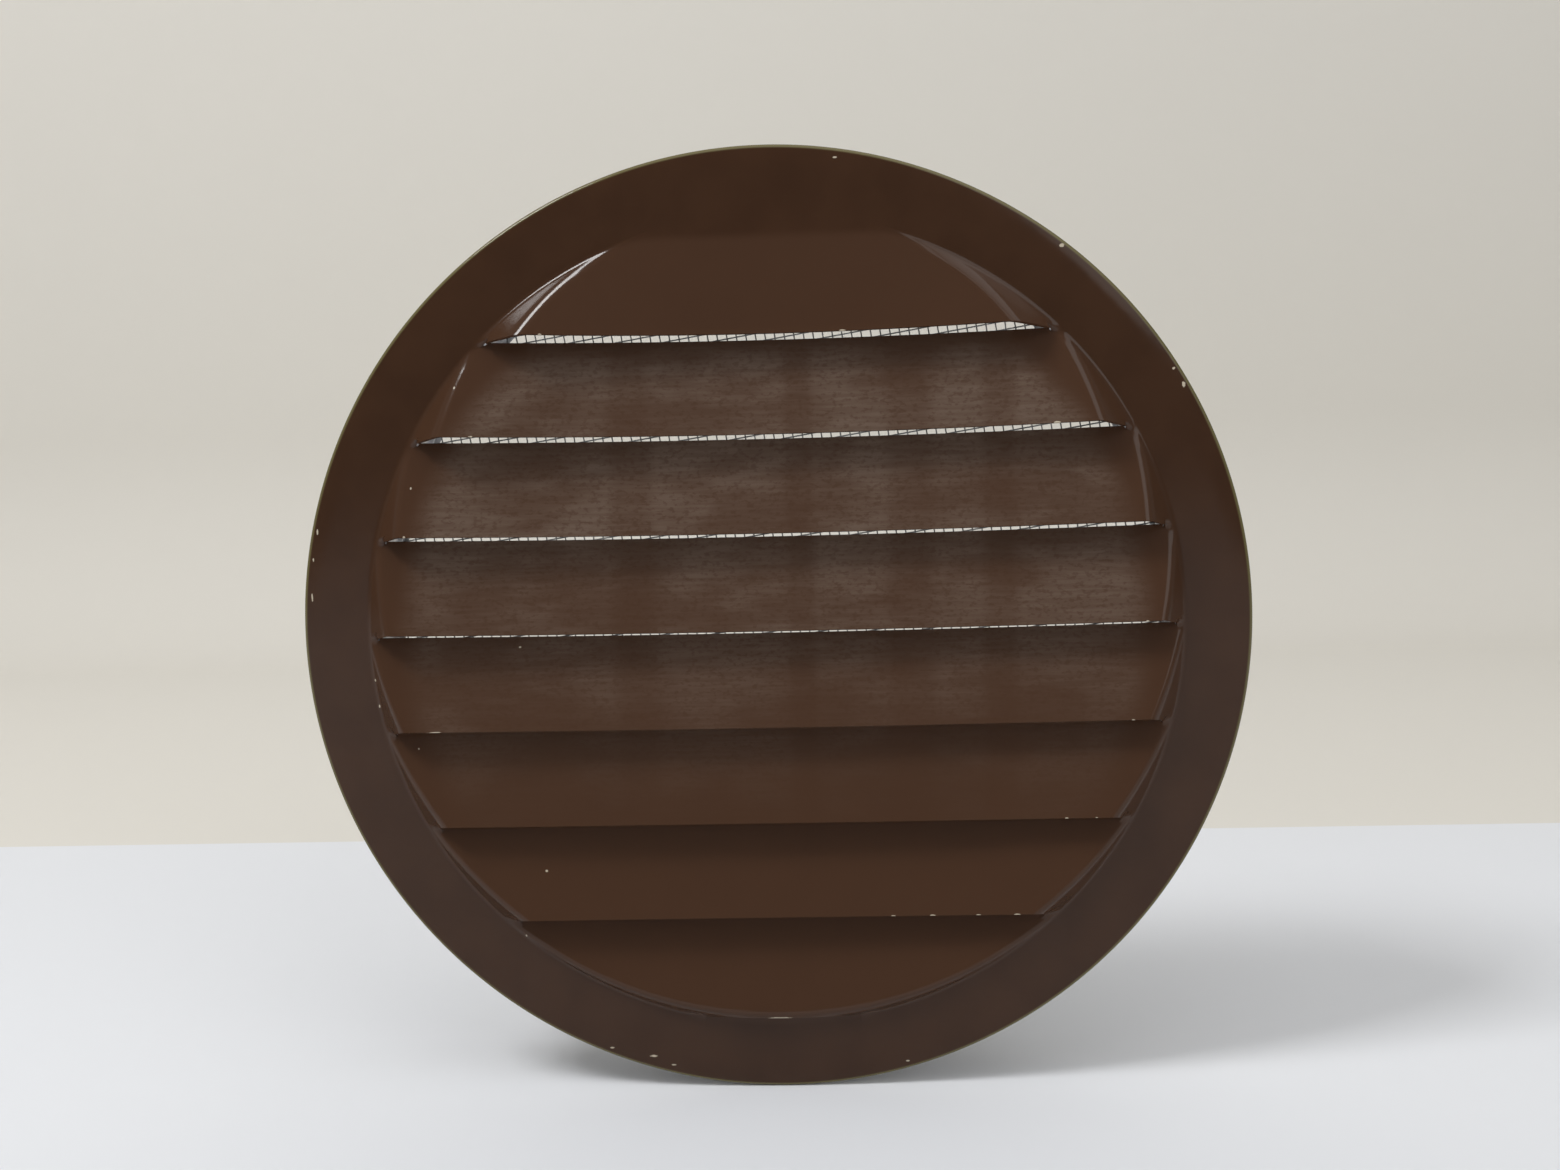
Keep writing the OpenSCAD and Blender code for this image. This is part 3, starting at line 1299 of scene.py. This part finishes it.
    def wires(
        self, tree: bpy.types.NodeTree, weave: Weave, finish: bpy.types.Material
    ) -> bpy.types.Object:
        """Makes one set of wires.

        Args:
            tree: the tree that weaves them.
            weave: which set.
            finish: finish of the wire.

        Returns:
            The object, as a plain mesh.
        """
        name, quarter, side = weave.value
        upright = weave is Weave.UPRIGHT
        pitch, cross = (self.pitch_x, self.pitch_z) if upright else (self.pitch_z, self.pitch_x)
        values = {
            "Wire": self.wire * MM,
            "Pitch": pitch * MM,
            "Cross pitch": cross * MM,
            "Disc radius": self.disc_r * MM,
            "Depth": self.middle * MM,
            "Turn": math.radians(self.turn + quarter),
            "Side": side,
            "Half count": int(self.disc_r / pitch),
            "Half crossings": int(self.disc_r / cross) + 1,
            "Finish": finish,
        }
        seed = bpy.data.objects.new(name + "_seed", bpy.data.meshes.new(name + "_seed"))
        bpy.context.scene.collection.objects.link(seed)
        modifier = seed.modifiers.new("weave", "NODES")
        modifier.node_group = tree
        for item in tree.interface.items_tree:
            if item.in_out == "INPUT" and item.name in values:
                modifier[item.identifier] = values[item.name]
        graph = bpy.context.evaluated_depsgraph_get()
        mesh = bpy.data.meshes.new_from_object(seed.evaluated_get(graph))
        seed.modifiers.clear()
        bpy.data.objects.remove(seed)
        mesh.name = name
        made = bpy.data.objects.new(name, mesh)
        bpy.context.scene.collection.objects.link(made)
        return made


# --------------------------------------------------------------------------
# Studio


@dataclass(frozen=True)
class SoftLamp:
    """A large soft lamp aimed at the vent."""

    name: str
    way: tuple[float, float, float]
    away: float
    wide: float
    high: float
    power: float
    tint: Colour = (1.0, 1.0, 1.0)

    def hang(self) -> bpy.types.Object:
        """Makes the lamp.

        Returns:
            The lamp object.
        """
        data = bpy.data.lights.new(self.name, "AREA")
        data.shape = "RECTANGLE"
        data.size, data.size_y = self.wide, self.high
        data.energy = self.power
        data.color = self.tint
        made = bpy.data.objects.new(self.name, data)
        way = Vector(self.way).normalized()
        made.matrix_world = (
            Matrix.Translation(way * self.away) @ way.to_track_quat("Z", "Y").to_matrix().to_4x4()
        )
        bpy.context.scene.collection.objects.link(made)
        return made


@dataclass(frozen=True)
class Studio:
    """Pale floor and backdrop, lamps and sky."""

    floor_z: float = -85.75
    half_width: float = 2600.0
    front_y: float = -2200.0
    wall_y: float = 640.0
    cove_r: float = 120.0
    wall_top: float = 1900.0
    sky: Colour = (0.20, 0.20, 0.20)
    lamps: tuple[SoftLamp, ...] = (
        SoftLamp("window", (-0.54, -0.32, 0.78), 1.5, 0.42, 0.42, 12.0),
        SoftLamp("ceiling", (0.15, -0.25, 1.0), 1.7, 2.0, 1.4, 10.5),
        SoftLamp("front_fill", (0.75, -1.0, 0.75), 1.8, 1.2, 1.2, 6.5),
    )

    def backdrop(self, paper: bpy.types.Material) -> bpy.types.Object:
        """Makes floor and wall as one sheet with a coved corner.

        Args:
            paper: its finish.

        Returns:
            The object.
        """
        turn = [math.radians(a) for a in range(0, 91, 9)]
        start = self.wall_y - self.cove_r
        section = [(self.front_y, self.floor_z), (-300.0, self.floor_z)]
        section += [
            (start + self.cove_r * math.sin(a), self.floor_z + self.cove_r * (1 - math.cos(a)))
            for a in turn
        ]
        section.append((self.wall_y, self.wall_top))
        sheet = SheetMesh()
        across = np.linspace(-self.half_width, self.half_width, 9)
        rows = [
            sheet.put(np.stack([across, np.full(9, y), np.full(9, z)], axis=-1))
            for y, z in section
        ]
        for low, high in zip(rows, rows[1:]):
            sheet.strip(low, high, 0)
        made = sheet.build("backdrop", [paper])
        made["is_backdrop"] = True
        return made

    def light(self) -> None:
        """Hangs the lamps and sets the sky."""
        world = bpy.data.worlds.new("soft_sky")
        world.use_nodes = True
        world.node_tree.nodes["Background"].inputs["Color"].default_value = (*self.sky, 1.0)
        world.node_tree.nodes["Background"].inputs["Strength"].default_value = 1.0
        bpy.context.scene.world = world
        for lamp in self.lamps:
            lamp.hang()


def mount(piece: bpy.types.Object, node: str, slot: Slot) -> None:
    """Puts a piece in place of a node of the frame.

    Args:
        piece: the dressed piece.
        node: node that it stands for.
        slot: not used.
    """
    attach(piece, BODY)
    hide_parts(node)
    LOG.info("%s: %d faces", piece.name, len(piece.data.polygons))


def corners(box: tuple[Vector, Vector]) -> list[list[float]]:
    """A box's two corners as plain lists."""
    return [[float(v) for v in corner] for corner in box]


def main() -> None:
    """Builds the scene and works out the sizes of the solids and of the dressed scene."""
    logging.basicConfig(level=logging.INFO, format="%(message)s")
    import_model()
    solid_box = corners(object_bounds())
    bpy.context.scene.view_settings.view_transform = "Standard"
    VIEW.camera()
    studio = Studio()
    studio.light()
    studio.backdrop(StudioPaper().material())
    face = LouvreFace()
    metal = MillAluminium().material()
    mount(face.build(BrownEnamel(face=face).material(), metal), "louvre_face", Slot.ENAMEL)
    mount(SpunCollar().build(metal), "mounting_collar", Slot.ALUMINIUM)
    screen = WovenScreen()
    tree = screen.tree()
    wire = ScreenWire().material()
    for weave in Weave:
        mount(screen.wires(tree, weave, wire), "insect_screen", Slot.WIRE)
    {"cad": solid_box, "visual": corners(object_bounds())}


if __name__ == "__main__":
    main()
